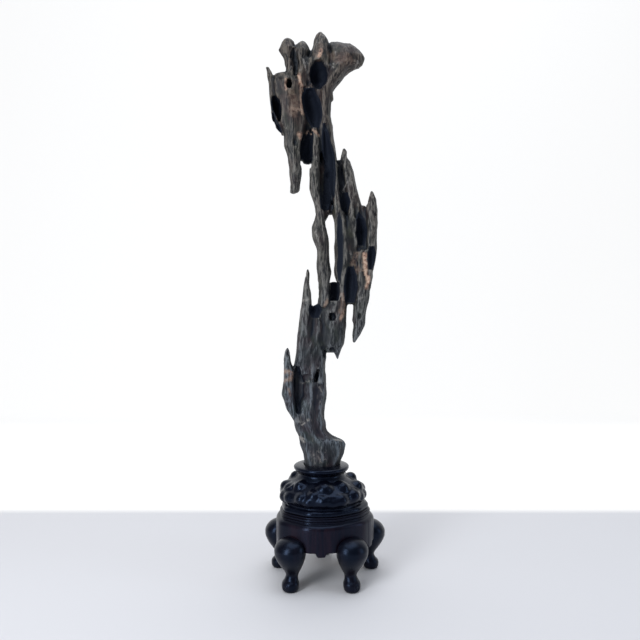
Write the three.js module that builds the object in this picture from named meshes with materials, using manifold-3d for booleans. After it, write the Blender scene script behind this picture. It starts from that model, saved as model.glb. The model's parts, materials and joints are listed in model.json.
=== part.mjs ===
// A pierced scholar's rock standing in a carved wooden stand on five cabriole legs.
// Millimetres, +Z up. The front looks towards -Y.

import * as THREE from 'three';
import { mergeVertices } from 'three/addons/utils/BufferGeometryUtils.js';
import Module from 'manifold-3d';

const wasm = await Module();
wasm.setup();

// Driving dimensions

const clearance = 0.3;            // gap kept between pieces that touch

// The apron's ten corners in plan, about the stand's axis. Its faces carry a leg and a pendant by turns.
const apronCorners = [
  [-50.5, -33], [-19.5, -54.5], [10.8, -53.5], [42.5, -35], [55.5, -10],
  [45, 38], [18.3, 53], [-20, 52.5], [-44.5, 36.5], [-55.5, -3],
];
const legNames = ['leg_front_left', 'leg_front_right', 'leg_right', 'leg_back', 'leg_left'];

const apronBottom = 41;           // height of the apron's lower edge
const apronTop = 76;              // top of its upper bead
const apronRadius = 56;           // about as far as a corner is from the axis
const hollowRadius = 36;          // underside hollow
const hollowTop = 60;
const pendantDrop = 4;
const pendantWidth = [12, 7];     // at the apron's edge, at its tip
const pendantThickness = 6;

const dowelRadius = 4.5;          // leg dowel, let up into the apron
const dowelInset = 7;             // apron's face to the dowel's middle
const dowelLength = 13;

const spigotRadius = 20;          // under the carved top, let down into the apron
const spigotLength = 8;

const collarTop = 120;            // where the rock comes out of the stand
const collarRadius = 31;
const collarShift = -4;           // the collar sits a little left of the stand's axis
const rockShift = -1.5;           // and so does the rock's own axis
const collarCrown = 2.2;          // how far the collar's top rises round the rock
const neckRadius = 25.6;
const seatDepth = 9;              // how far the rock's foot goes down into the collar

// Leg sections, foot to knee: height, middle's distance out from the apron's face, half depth, half width
const legSections = [
  [0, 2.2, 7, 7],
  [3, 2.4, 8.8, 9.2],
  [9, 1.9, 8.8, 9.4],
  [17, -0.6, 6.2, 6.4],
  [24, 0.6, 9, 10.4],
  [32, 2.4, 13.6, 15.6],
  [40, 3, 15.2, 17],
  [48, 2.6, 12.4, 13.6],
  [52.8, 1.4, 5.5, 6],
];

// Tiers of rockwork on the carved top: height above the apron, distance from the axis, size, number
// round, turn in degrees, rise towards the left
const knobTiers = [
  [14, 46, 6.8, 11, -95, 0.5],
  [20, 38.5, 9.4, 7, -88, 3.5],
  [26.5, 30, 7.6, 5, -64, 5.5],
];

// The rock is a bundle of strands. Each is a run of level ovals, listed as
// x, y, height above the collar, half width, half depth.
const strands = {
  foot: [[-2, 0, -seatDepth, 19, 14.5], [-2, 0, -1, 19, 14.5], [-1, 0, 5.5, 21, 15], [-0.5, 0, 13.5, 23.5, 15.5],
    [-1, 0, 23.5, 26, 16], [-3, 0, 29, 24.5, 15.5], [-9.5, 0, 33.5, 19, 14], [-13.5, 0, 39, 17.5, 13],
    [-15, 0, 50.5, 18, 13]],
  stem: [[-13, 0, 38, 18, 13], [-16, 0, 48, 18, 13], [-16.5, 0, 60.5, 18.5, 13], [-13, 0, 69.5, 15.5, 13],
    [-9.5, 0, 78.5, 13.5, 12], [-9, 0, 93, 13.5, 12], [-12.5, 0, 106.5, 15.5, 13], [-14, 0, 123, 17.5, 14],
    [-8.5, 0, 159, 13.5, 13], [-6, 0, 178, 7, 9]],
  lowSpire: [[-26.5, -3, 49, 6.5, 9], [-30, -3, 56, 7, 9], [-35.5, -4, 63.5, 7, 9], [-39, -4, 80, 7.5, 9],
    [-38.5, -4, 94.5, 6, 8], [-38.5, -4, 106, 6, 7], [-40.5, -4, 119, 4.5, 5], [-40.5, -4, 127.5, 3, 3.5],
    [-40, -4, 132, 1, 1.5]],
  grooveBack: [[-27, 4, 52, 6, 7], [-29, 5, 70, 8, 6], [-29, 5, 88, 7, 6], [-28, 5, 101, 5, 5]],
  highSpire: [[-22, -3, 103, 11, 11], [-22, -4, 115, 11, 11], [-21.5, -4, 128, 9, 11], [-21.5, -5, 146, 8, 10], [-21, -5, 159, 6.5, 9], [-19.5, -5, 171, 6.5, 8],
    [-18.5, -5, 186.5, 5, 7], [-18.5, -5, 200, 4, 5], [-17.5, -5, 214.5, 2.5, 3], [-17.5, -5, 219.5, 1, 1.5]],
  lowMass: [[8.5, 0, 128, 10, 9], [8.5, 0, 134.5, 14.5, 12], [9.5, 0, 145.5, 15.5, 13], [10.5, 0, 159, 15.5, 14],
    [10.5, 0, 171.5, 15.5, 14], [11.5, 0, 181.5, 14.5, 13], [19.5, 0, 189, 8, 10], [20.5, 0, 201.5, 6.5, 9]],
  dripSpur: [[15.5, -2, 118.5, 1, 2], [15, -2, 123.5, 2.5, 4], [15.5, -2, 130, 4.5, 6], [16, -2, 140, 6.5, 8]],
  slitSill: [[11, 7, 176, 8, 6], [12, 8, 192, 8, 5], [12, 8, 205, 7, 4]],
  leftColumn: [[1.5, -4, 178, 7.5, 10], [1, -6, 203, 7, 9], [0.5, -6, 215, 8, 9], [-1, -6, 240, 7.5, 9],
    [-3.5, -6, 254, 9, 10], [-5, -6, 266, 8.5, 9], [-3.5, -6, 280, 6, 8],
    [-6, -6, 290, 5, 8], [-9.5, -6, 306, 5.5, 8], [-10.5, -6, 323, 6, 9], [-9.5, -6, 339.5, 6, 9],
    [-8.5, -4, 361.5, 5, 9], [-10.5, -2, 377, 4.5, 9]],
  middleColumn: [[19.5, -2, 201.5, 6.5, 9], [20.5, -2, 216, 9.5, 11], [21.5, -2, 235, 9.5, 12],
    [20.5, -2, 255, 9, 12], [19, -2, 274, 8, 11], [16, -2, 288, 5.5, 9], [14, -2, 301.5, 5, 8], [12, -2, 315, 5, 8],
    [11.5, -1, 336, 5.5, 8]],
  rightColumn: [[11.5, 0, 328, 5.5, 9], [7, 0, 344, 7.5, 10], [5, 0, 353, 8.5, 11], [3, 0, 365, 9, 12],
    [1.5, 0, 378.5, 9, 13], [0.5, 0, 390, 7, 13], [0.5, 0, 404, 8, 14], [1.5, 0, 414.5, 9, 15]],
  channelBack: [[4, 5, 285, 7.5, 5], [4, 6, 305, 8, 6], [2, 6, 330, 7, 6], [2, 5, 350, 7, 7]],
  grooveWall: [[21, 8, 262, 7, 5], [21, 8, 285, 8, 6], [22, 8, 305, 7, 6], [21, 8, 325, 7, 6], [17, 7, 342, 5.5, 5]],
  spurColumn: [[34.5, 2, 228, 11, 12], [32, 2, 247, 11, 13], [32, 2, 264, 10.5, 13], [33.5, 3, 278.5, 10, 12],
    [34, 4, 289, 9, 12], [31, 4, 309, 8, 10],
    [27.5, 4, 328, 7, 9], [25, 4, 340.5, 6, 8], [23, 4, 346, 4, 6], [23.5, 4, 351.5, 3.5, 5], [23, 4, 355.5, 1.5, 2.5]],
  bladeWeb: [[46, 0, 215, 5, 7], [45, 0, 235, 8, 8], [44, 2, 255, 8, 8], [44, 2, 275, 6, 7], [44, 2, 290, 3, 5]],
  blade: [[51.5, -4, 197, 1.5, 3], [51, -4, 207, 3.5, 5], [51.5, -4, 218, 5, 7], [52.5, -4, 229, 5.5, 8],
    [53, -4, 245, 6.5, 9], [54.5, -4, 265.5, 7, 9], [53.5, -4, 285, 7, 7], [54, -4, 296.5, 5, 5],
    [53.5, -4, 306, 1.5, 2]],
  hangingBlade: [[34, -2, 137, 1, 2.5], [34.5, -2, 140, 3, 4.5], [36, -2, 146, 5, 6], [39, -2, 156, 7, 8],
    [41, -2, 178, 8.5, 10], [44, -2, 199, 9, 11], [44.5, -2, 215, 10, 11], [43, -2, 240, 9, 10]],
  hangingWall: [[31, 1, 181, 5, 6], [31, 1, 200, 8, 9], [31, 1, 220, 8, 10], [31, 1, 235, 8, 10]],
  prong: [[-32.5, -8, 303, 5, 6], [-32, -8, 305.5, 5.5, 7], [-31.5, -8, 316.5, 6.5, 9], [-31.5, -8, 333, 7.5, 10],
    [-32.5, -8, 344, 8.5, 11], [-33.5, -8, 355, 10.5, 12], [-32.5, -7, 368, 12, 13], [-34.5, -6, 381, 17, 14],
    [-38.5, -5, 400, 18.5, 16], [-40, -5, 424, 18.5, 16], [-44.5, -5, 433, 12, 12]],
  flap: [[-47.5, -5, 369.5, 1, 2], [-50, -5, 375.5, 3.5, 5], [-53, -5, 385.5, 4, 8],
    [-55.5, -5, 405, 4, 9], [-57, -5, 424.5, 4.5, 8], [-60.5, -5, 438, 3, 4], [-61.5, -5, 443, 1, 1.5]],
  headCore: [[-18, 6, 340, 5.5, 6], [-18, 6, 350, 6.5, 6], [-18, 6, 362, 8, 8], [-16, 5, 377, 12, 10], [-13, 4, 392, 12, 13],
    [-13, 4, 412, 14, 16], [-14, 3, 437, 15, 17], [-14, 3, 452, 12, 15]],
  knob: [[-35, -6, 427, 7, 12], [-35.5, -6, 440, 6.5, 11], [-37, -6, 452, 7.5, 12], [-40.5, -6, 462, 10, 11],
    [-39.5, -6, 471, 7.5, 8], [-39.5, -6, 474, 4.5, 5]],
  middleCrest: [[-25, 0, 420, 10, 16], [-26, 0, 448, 10, 15], [-25, 0, 462.5, 10.5, 12], [-25, 0, 470, 8, 8],
    [-24, 0, 474, 3, 4]],
  peak: [[1.5, 2, 409, 10, 16], [-2, 2, 426, 13.5, 19], [-4, 2, 452, 13.5, 18], [-3, 2, 466, 10, 13],
    [-3, 2, 477, 8.5, 9], [-3.5, 2, 482.5, 5.5, 6], [-3, 2, 486, 1.5, 2.5]],
  wing: [[3, 0, 403, 5.5, 12], [4, 0, 417, 5.5, 14], [8, 0, 425.5, 7, 15], [13, 0, 434.5, 10, 16],
    [16, 1, 442.5, 12.5, 16], [24, 2, 448, 20.5, 15], [26, 3, 457, 22, 14], [23.5, 3, 465, 18.5, 11],
    [19.5, 3, 471, 15.5, 7], [14.5, 3, 475.5, 6, 3]],
  backSpine: [[-12, 8, 40, 10, 9], [-10, 11, 70, 9, 8], [-13, 12, 100, 10, 8], [-12, 13, 130, 10, 8],
    [-6, 12, 155, 9, 8], [4, 10, 172, 8, 7]],
  backFin: [[36, 12, 236, 8, 6], [34, 15, 258, 7, 7], [31, 15, 282, 6, 7], [27, 12, 304, 5, 5]],
  backRidge: [[-33, 5, 345, 5, 5], [-32, 12, 372, 8, 7], [-30, 15, 398, 10, 8], [-22, 17, 420, 12, 8],
    [-12, 16, 440, 11, 8], [-6, 13, 458, 7, 6], [-4, 12, 468, 2, 2]],
  backShelf: [[14, 12, 438, 8, 5], [22, 14, 450, 13, 7], [27, 13, 460, 12, 6], [26, 10, 467, 8, 4]],
};

// Water-worn hollows, cut out of the bundle, listed in the same way
const hollows = {
  roundPit: [[-5.5, -15, 419, 5, 9], [-5.5, -14, 424, 9, 14], [-5.5, -13, 432, 10.5, 16], [-5.5, -14, 440, 9, 14],
    [-5.5, -15, 445, 5, 9]],
  longPit: [[-9, -13, 377, 3, 9], [-11, -12, 386, 5.5, 13], [-14, -12, 396, 6.5, 14], [-16, -13, 406, 5.5, 13],
    [-17, -14, 415, 3, 9]],
  archRecess: [[-19, -8, 332, 7, 11], [-19, -8, 348, 7.5, 11], [-19, -10, 360, 6.5, 10], [-19, -12, 368, 3, 6]],
  lensHole: [[-48, -10, 382, 2.5, 12], [-50, -10, 394, 5, 15], [-52, -10, 405, 2.5, 11]],
  knobHollow: [[-33.5, -14, 443, 2.5, 8], [-33.5, -12, 451, 4, 10], [-33.5, -13, 458, 2.5, 7]],
  blackChannel: [[1.5, -11, 284, 4, 10], [1.5, -10, 300, 5, 10], [1, -10, 325, 4.5, 10], [1, -12, 345, 3.5, 8],
    [1, -13, 358, 2, 5]],
  ovalHollow: [[23, -8, 285, 3, 9], [23, -6, 294, 5, 10], [22.5, -8, 303, 3, 9]],
  bladeHole: [[41.5, -8, 247, 3, 9], [41.5, -7, 260, 5.5, 11], [41.5, -8, 273, 3, 9]],
  bladeGroove: [[51, -12, 206, 1.5, 5], [52, -11, 222, 3, 6], [53, -10, 235, 4, 7], [53, -11, 242, 2.5, 5]],
  shadedRecess: [[29, -10, 183, 4, 8], [30, -10, 197, 6, 9], [30, -10, 212, 5, 8], [30, -11, 220, 2.5, 5]],
  squareHole: [[12, -8, 187, 4, 9], [12, -7, 195, 5, 11], [12, -7, 204, 4.5, 10]],
  spireGroove: [[-28, -12, 62, 2.5, 7], [-28, -11, 75, 4.5, 10], [-27.5, -11, 90, 4.5, 11], [-28, -11, 102, 3.5, 9],
    [-29, -10, 110, 2, 6]],
  stemHollow: [[-8, -17, 57, 4, 6], [-7, -16, 70, 7, 8], [-7, -16, 85, 7, 8], [-7, -16, 98, 4, 6]],
  backHeadPit: [[-14, 24, 421, 5, 8], [-16, 23, 430, 9, 11], [-17, 24, 439, 5, 8]],
  backFlapPit: [[-45, 14, 396, 3, 7], [-46, 13, 408, 5, 9], [-45, 14, 420, 3, 7]],
};

// Turning a three.js geometry into a manifold solid and back

function solid(geometry) {
  const bare = geometry.clone();
  bare.deleteAttribute('normal');
  bare.deleteAttribute('uv');
  const merged = mergeVertices(bare, 1e-4);
  const corners = merged.index.array;
  const kept = [];
  for (let i = 0; i < corners.length; i += 3) {
    const [a, b, c] = corners.slice(i, i + 3);
    if (a !== b && b !== c && c !== a) kept.push(a, b, c);
  }
  return new wasm.Manifold(new wasm.Mesh({
    numProp: 3,
    vertProperties: new Float32Array(merged.attributes.position.array),
    triVerts: new Uint32Array(kept),
  }));
}

function joined(solids) {
  return solids.reduce((whole, next) => whole.add(next));
}

function namedMesh(name, whole, material) {
  const surface = whole.getMesh();
  const geometry = new THREE.BufferGeometry();
  geometry.setAttribute('position', new THREE.BufferAttribute(surface.vertProperties, 3));
  geometry.setIndex(new THREE.BufferAttribute(surface.triVerts, 1));
  geometry.computeVertexNormals();
  const mesh = new THREE.Mesh(geometry, material);
  mesh.name = name;
  return mesh;
}

// A closed solid through a run of level ovals, its two ends drawn to blunt tips
function strand(ovals, grow = 0) {
  const broad = ovals.some(([, , , halfWidth, halfDepth]) => Math.max(halfWidth, halfDepth) > 13);
  const sides = broad ? 8 : 6;
  const geometry = new THREE.SphereGeometry(1, sides, ovals.length + 1);
  const position = geometry.attributes.position;
  const columns = sides + 1;
  for (let i = 0; i < position.count; i++) {
    const row = Math.floor(i / columns);
    const rung = ovals.length - row;                                // ring 0 is the lowest oval
    const [x, y, z, halfWidth, halfDepth] = ovals[Math.min(Math.max(rung, 0), ovals.length - 1)];
    if (row === 0 || row === ovals.length + 1) {
      const tip = 0.35 * Math.min(halfWidth, halfDepth);
      position.setXYZ(i, x, y, row === 0 ? z + tip : z - tip);
      continue;
    }
    const angle = (i % columns) / sides * 2 * Math.PI;
    position.setXYZ(i, x + (halfWidth + grow) * Math.cos(angle), y + (halfDepth + grow) * Math.sin(angle), z);
  }
  return solid(geometry);
}

// A turned profile of radius and height, its plan either round or drawn out to the ten corners
function turned(profile, plan) {
  const points = profile.map(([radius, height]) => new THREE.Vector2(radius, height));
  const geometry = new THREE.LatheGeometry(points, plan.length);
  const position = geometry.attributes.position;
  for (let i = 0; i < position.count; i++) {
    const { angle, reach } = plan[Math.floor(i / profile.length) % plan.length];
    const [radius, height] = profile[i % profile.length];
    position.setXYZ(i, radius * reach * Math.cos(angle), radius * reach * Math.sin(angle), height);
  }
  return solid(geometry);
}

const radians = THREE.MathUtils.degToRad;

function roundPlan(columns) {
  return Array.from({ length: columns }, (_, i) => ({ angle: i / columns * 2 * Math.PI, reach: 1 }));
}

const tenSidedPlan = apronCorners.map(([x, y]) => ({ angle: Math.atan2(y, x), reach: Math.hypot(x, y) / apronRadius }));

// Moves a shape from beside the origin, where it faces +X, to the middle of one of the apron's faces
function setAgainstFace(index, geometry) {
  const [startX, startY] = apronCorners[index];
  const [endX, endY] = apronCorners[(index + 1) % apronCorners.length];
  geometry.rotateZ(Math.atan2(startX - endX, endY - startY));
  geometry.translate((startX + endX) / 2, (startY + endY) / 2, 0);
  return geometry;
}

// The pieces

function makeRock() {
  const bundle = joined(Object.values(strands).map((ovals) => strand(ovals)));
  const worn = joined(Object.values(hollows).map((ovals) => strand(ovals)));
  return bundle.subtract(worn).translate([rockShift, 0, collarTop]);
}

function makeKnob(angle, distance, height, size) {
  const knob = new THREE.SphereGeometry(1, 6, 4);
  knob.rotateX(Math.PI / 2);
  knob.scale(size, size * 1.15, size * 0.85);
  knob.rotateZ(angle);
  knob.translate(distance * Math.cos(angle) + collarShift / 2, distance * Math.sin(angle), height);
  return solid(knob);
}

function makeCarvedTop() {
  const waist = turned([
    [0, apronTop + clearance], [46, apronTop + clearance], [48, apronTop + 2.5], [47.5, apronTop + 5.5],
    [45.5, apronTop + 8], [42, apronTop + 10], [0, apronTop + 12],
  ], tenSidedPlan);
  const dome = turned([
    [0, apronTop + 5], [40.5, apronTop + 5], [41, apronTop + 10], [45, apronTop + 15], [43, apronTop + 21.5],
    [36.5, apronTop + 27], [29, collarTop - 13], [28, collarTop - 10], [neckRadius, collarTop - 7],
    [collarRadius - 3, collarTop - 5], [collarRadius, collarTop - 1.5], [collarRadius - 0.8, collarTop + 0.6],
    [23, collarTop + collarCrown], [0, collarTop + collarCrown],
  ], roundPlan(16)).translate([collarShift, 0, 0]);
  const spigot = turned([
    [0, apronTop - spigotLength], [spigotRadius, apronTop - spigotLength], [spigotRadius, apronTop + 6],
    [0, apronTop + 6],
  ], roundPlan(12));
  const knobs = [];
  for (const [height, distance, size, count, turn, rise] of knobTiers) {
    for (let i = 0; i < count; i++) {
      const wander = Math.sin(i * 2.4 + height);                    // keeps the rockwork irregular
      const angle = radians(turn + (i + 0.18 * wander) * 360 / count);
      const level = apronTop + height - rise * Math.cos(angle) - wander;
      knobs.push(makeKnob(angle, distance + wander, level, size * (1 + 0.1 * wander)));
    }
  }
  const seat = strand(strands.foot, clearance).translate([rockShift, 0, collarTop]);
  return joined([waist, dome, spigot, ...knobs]).subtract(seat);
}

function makePendant(index) {
  const [top, tip] = pendantWidth;
  const outline = new THREE.Shape();
  outline.moveTo(-top / 2, 4);
  outline.lineTo(-top / 2, 0);
  outline.lineTo(-tip / 2, -pendantDrop);
  outline.lineTo(tip / 2, -pendantDrop);
  outline.lineTo(top / 2, 0);
  outline.lineTo(top / 2, 4);
  const geometry = new THREE.ExtrudeGeometry(outline, { depth: pendantThickness, bevelEnabled: false });
  geometry.rotateX(Math.PI / 2);
  geometry.rotateZ(Math.PI / 2);
  geometry.translate(-0.8 - pendantThickness, 0, apronBottom);
  return solid(setAgainstFace(2 * index + 1, geometry));
}

function makeDowel(index, radius, length) {
  const geometry = new THREE.CylinderGeometry(radius, radius, length, 12);
  geometry.rotateX(Math.PI / 2);
  geometry.translate(-dowelInset, 0, apronBottom + length / 2);
  return setAgainstFace(2 * index, geometry);
}

function makeApron() {
  const corner = apronRadius;
  let apron = turned([
    [0, apronBottom], [corner - 0.8, apronBottom], [corner, apronBottom + 2], [corner, apronTop - 11],
    [corner - 1.2, apronTop - 8], [corner - 4, apronTop - 6], [corner - 5.2, apronTop - 5.4],
    [corner - 4, apronTop - 4.2], [corner - 5.4, apronTop - 3], [corner - 4.6, apronTop - 1.5],
    [corner - 6, apronTop], [0, apronTop],
  ], tenSidedPlan);
  const hollow = turned([
    [0, apronBottom - 5], [hollowRadius, apronBottom - 5], [hollowRadius, hollowTop - 4], [hollowRadius - 4, hollowTop],
    [0, hollowTop],
  ], tenSidedPlan);
  const socket = turned([
    [0, apronTop - spigotLength - clearance], [spigotRadius + clearance, apronTop - spigotLength - clearance],
    [spigotRadius + clearance, apronTop + 5], [0, apronTop + 5],
  ], roundPlan(12));
  apron = apron.subtract(hollow).subtract(socket);
  legNames.forEach((name, index) => {
    apron = apron.add(makePendant(index));
    const mortise = makeDowel(index, dowelRadius + clearance, 2 * (dowelLength + clearance));
    mortise.translate(0, 0, -dowelLength - clearance);
    apron = apron.subtract(solid(mortise));
  });
  return apron;
}

function makeLeg(index) {
  const sides = 10;
  const geometry = new THREE.SphereGeometry(1, sides, legSections.length + 1);
  const position = geometry.attributes.position;
  const columns = sides + 1;
  const last = legSections.length - 1;
  for (let i = 0; i < position.count; i++) {
    const row = Math.floor(i / columns);
    const section = legSections[Math.min(Math.max(last + 1 - row, 0), last)];
    const [height, out, halfDepth, halfWidth] = section;
    if (row === 0 || row === last + 2) {
      position.setXYZ(i, out, 0, row === 0 ? height + 1.4 : 0);
      continue;
    }
    const around = (i % columns) / sides * 2 * Math.PI;
    position.setXYZ(i, out + halfDepth * Math.cos(around), halfWidth * Math.sin(around), height);
  }
  const reach = apronRadius + 1.2 * clearance;
  const against = turned([
    [0, apronBottom - clearance], [reach, apronBottom - clearance], [reach, 90], [0, 90],
  ], tenSidedPlan);
  const dowel = makeDowel(index, dowelRadius, dowelLength);
  dowel.translate(0, 0, -2);
  return solid(setAgainstFace(2 * index, geometry)).subtract(against).add(solid(dowel));
}

// The object

const rockMaterial = new THREE.MeshStandardMaterial({ color: 0x47413f, roughness: 0.62, metalness: 0 });
const topMaterial = new THREE.MeshStandardMaterial({ color: 0x1b191d, roughness: 0.35, metalness: 0 });
const apronMaterial = new THREE.MeshStandardMaterial({ color: 0x331f22, roughness: 0.38, metalness: 0 });
const legMaterial = new THREE.MeshStandardMaterial({ color: 0x221a1d, roughness: 0.35, metalness: 0 });

const scholarsRock = new THREE.Group();
scholarsRock.add(namedMesh('stone', makeRock(), rockMaterial));
scholarsRock.add(namedMesh('stand_top', makeCarvedTop(), topMaterial));
scholarsRock.add(namedMesh('stand_apron', makeApron(), apronMaterial));
legNames.forEach((name, index) => scholarsRock.add(namedMesh(name, makeLeg(index), legMaterial)));

// The origin is the middle of the whole object's box, on the surface it stands on
const box = new THREE.Box3().setFromObject(scholarsRock);
const middle = box.getCenter(new THREE.Vector3());
scholarsRock.position.set(-middle.x, -middle.y, -box.min.z);

export default scholarsRock;
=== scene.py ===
# A pierced scholar's rock in its carved wooden stand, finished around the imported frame.
# Shapes are worked out in millimetres from the stand's axis and the table top, then set down in metres.
import itertools
import json
import math

import bpy
import numpy as np
import openvdb
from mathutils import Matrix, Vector


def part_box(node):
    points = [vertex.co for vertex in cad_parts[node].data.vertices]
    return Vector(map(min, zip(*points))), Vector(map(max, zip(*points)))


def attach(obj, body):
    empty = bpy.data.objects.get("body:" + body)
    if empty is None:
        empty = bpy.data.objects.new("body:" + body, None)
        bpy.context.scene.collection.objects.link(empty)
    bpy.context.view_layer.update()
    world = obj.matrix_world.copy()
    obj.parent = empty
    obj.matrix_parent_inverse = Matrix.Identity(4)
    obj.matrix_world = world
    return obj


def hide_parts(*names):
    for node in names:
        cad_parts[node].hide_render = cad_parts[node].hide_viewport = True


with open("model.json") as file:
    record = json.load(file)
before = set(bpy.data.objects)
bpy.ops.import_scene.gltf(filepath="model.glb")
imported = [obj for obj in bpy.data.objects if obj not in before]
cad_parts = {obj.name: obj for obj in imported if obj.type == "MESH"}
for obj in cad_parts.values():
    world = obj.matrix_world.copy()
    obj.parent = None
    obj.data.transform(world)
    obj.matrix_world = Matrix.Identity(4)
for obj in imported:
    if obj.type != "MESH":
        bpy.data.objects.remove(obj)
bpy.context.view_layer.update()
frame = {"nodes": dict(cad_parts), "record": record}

mm = 0.001
record = frame["record"]
backFoot = next(mount["pos_m"] for mount in record["mounts"] if mount["name"] == "foot_back")
backFootFromAxis = [-0.9, 54.9, 0]
standAxis = np.array([backFoot[0], backFoot[1], 0]) / mm - backFootFromAxis
pendantDrop = 4                                        # below the apron's edge
collarCrown = 2.2                                      # how far the collar rises round the rock
clearance = 0.3                                        # left between pieces that touch
spigotRadius, spigotLength = 20, 8                     # under the carved top, let down into the apron
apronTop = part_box("stand_apron")[1].z / mm
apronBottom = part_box("stand_apron")[0].z / mm + pendantDrop
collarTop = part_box("stand_top")[1].z / mm - collarCrown
rockShift = -1.5                                       # the rock's own axis, left of the stand's
collarShift = -4                                       # and the collar's

legNames = ["leg_front_left", "leg_front_right", "leg_right", "leg_back", "leg_left"]
# the apron's corners in plan; its faces carry a leg and a pendant by turns
apronCorners = np.array([(-50.5, -33), (-19.5, -54.5), (10.8, -53.5), (42.5, -35), (55.5, -10),
                         (45, 38), (18.3, 53), (-20, 52.5), (-44.5, 36.5), (-55.5, -3)])
apronRadius = 56                                       # about as far as a corner is from the axis


# Meshes

def makePiece(name, points, faces, material, slot, *nodes):
    mesh = bpy.data.meshes.new(name)
    mesh.from_pydata(((points + standAxis) * mm).tolist(), [], faces)
    mesh.shade_smooth()
    mesh.materials.append(material)
    piece = bpy.data.objects.new(name, mesh)
    bpy.context.scene.collection.objects.link(piece)
    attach(piece, "root")
    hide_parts(*nodes)
    return piece


def thinned(piece, most):  # brings a piece down to so many triangles
    triangles = sum(len(face.vertices) - 2 for face in piece.data.polygons)
    if triangles <= most:
        return
    reduce = piece.modifiers.new("reduce", "DECIMATE")
    reduce.ratio = most / triangles
    whole = bpy.context.evaluated_depsgraph_get()
    whole.update()
    mesh = bpy.data.meshes.new_from_object(piece.evaluated_get(whole))
    piece.modifiers.clear()
    old = piece.data
    piece.data = mesh
    bpy.data.meshes.remove(old)
    mesh.name = piece.name
    mesh.shade_smooth()


def pointsOf(piece):
    points = np.zeros(len(piece.data.vertices) * 3, np.float32)
    piece.data.vertices.foreach_get("co", points)
    return points.reshape(-1, 3) / mm - standAxis


def smoothRun(rows, perStep):  # a smooth curve through a short table of numbers
    rows = np.array(rows, float)
    ends = np.vstack([2 * rows[0] - rows[1], rows, 2 * rows[-1] - rows[-2]])
    run = []
    for a, b, c, d in zip(ends, ends[1:], ends[2:], ends[3:]):
        for t in np.arange(perStep) / perStep:
            run.append(0.5 * (2 * b + (c - a) * t + (2 * a - 5 * b + 4 * c - d) * t * t
                              + (3 * b - a - 3 * c + d) * t ** 3))
    return np.array(run + [rows[-1]])


# Solids as boxes of distances: negative inside, positive outside

class Block:
    def __init__(self, low, high, step):
        self.low = np.array(low, float)
        self.step = step
        self.shape = tuple(int(math.ceil(size / step)) + 1 for size in np.array(high) - self.low)
        self.values = None

    def rulers(self):  # x, y and z of the grid's planes, shaped to spread over it
        x, y, z = (low + self.step * np.arange(count) for low, count in zip(self.low, self.shape))
        return x[:, None, None], y[None, :, None], z[None, None, :]

    def at(self, points, values=None):  # values between the grid's points
        values = self.values if values is None else values
        spot = np.clip((points - self.low) / self.step, 0, np.array(self.shape) - 1.001)
        cell = spot.astype(int)
        part = spot - cell
        total = 0
        for corner in itertools.product((0, 1), repeat=3):
            share = np.prod(np.where(corner, part, 1 - part), axis=1)
            i, j, k = (cell + corner).T
            total = total + share * values[i, j, k]
        return total

    def surface(self):
        far = 3 * self.step
        grid = openvdb.FloatGrid(far)
        grid.copyFromArray(np.clip(self.values, -far, far).astype(np.float32))
        grid.transform = openvdb.createLinearTransform(voxelSize=self.step)
        points, _, quads = grid.convertToPolygons(isovalue=0, adaptivity=0)
        corners = points[quads]
        outward = np.cross(corners[:, 1] - corners[:, 0], corners[:, 3] - corners[:, 0])
        if (outward * corners[:, 0]).sum() < 0:
            quads = quads[:, ::-1]
        return points + self.low, quads.tolist()


def blurred(values, reach):  # reach in grid steps
    half = int(3 * reach) + 1
    weights = np.exp(-0.5 * (np.arange(-half, half + 1) / reach) ** 2)
    weights /= weights.sum()
    for axis in range(values.ndim):
        edges = [(half, half) if a == axis else (0, 0) for a in range(values.ndim)]
        wide = np.pad(values, edges, mode="edge")
        total = np.zeros_like(values)
        for start, weight in enumerate(weights):
            slab = [slice(None)] * values.ndim
            slab[axis] = slice(start, start + values.shape[axis])
            total += np.float32(weight) * wide[tuple(slab)]
        values = total
    return values


def eased(low, high, value):  # 0 below low, 1 above high
    t = np.clip((value - low) / (high - low), 0, 1)
    return t * t * (3 - 2 * t)


def blended(a, b, width):  # the nearer of two surfaces, the crease between them filled a little
    t = np.clip(0.5 + 0.5 * (b - a) / width, 0, 1)
    return b + (a - b) * t - width * t * (1 - t)


# Steady noise

def hashed(cells, seed):  # a number from 0 to 1 for each whole-numbered cell
    mixed = cells[:, 0] * 73856093 ^ cells[:, 1] * 19349663 ^ cells[:, 2] * 83492791 ^ seed * 26544357
    mixed = ((mixed & 0xFFFFFFFF) ^ mixed >> 13 & 0x7FFFF) * 1274126177
    mixed = (mixed & 0xFFFFFFFF) ^ mixed >> 15 & 0x1FFFF
    return (mixed & 0xFFFFFF) / 0xFFFFFF


def rolling(points, seed):  # smooth noise, -1 to 1, one swell to a unit
    cell = np.floor(points).astype(np.int64)
    part = points - cell
    part = part ** 3 * (part * (part * 6 - 15) + 10)
    total = 0
    for corner in itertools.product((0, 1), repeat=3):
        share = np.prod(np.where(corner, part, 1 - part), axis=1)
        total = total + share * hashed(cell + corner, seed)
    return 2 * total - 1


def scalloped(points, seed):  # distance to the nearest of scattered centres, one to a unit cell
    cell = np.floor(points).astype(np.int64)
    nearest = np.full(len(points), 9.0)
    for offset in itertools.product((-1, 0, 1), repeat=3):
        near = cell + offset
        gap = sum((points[:, a] - near[:, a] - 0.1 - 0.8 * hashed(near, seed + a)) ** 2 for a in range(3))
        nearest = np.minimum(nearest, gap)
    return np.sqrt(nearest)


# Shader maths

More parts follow.
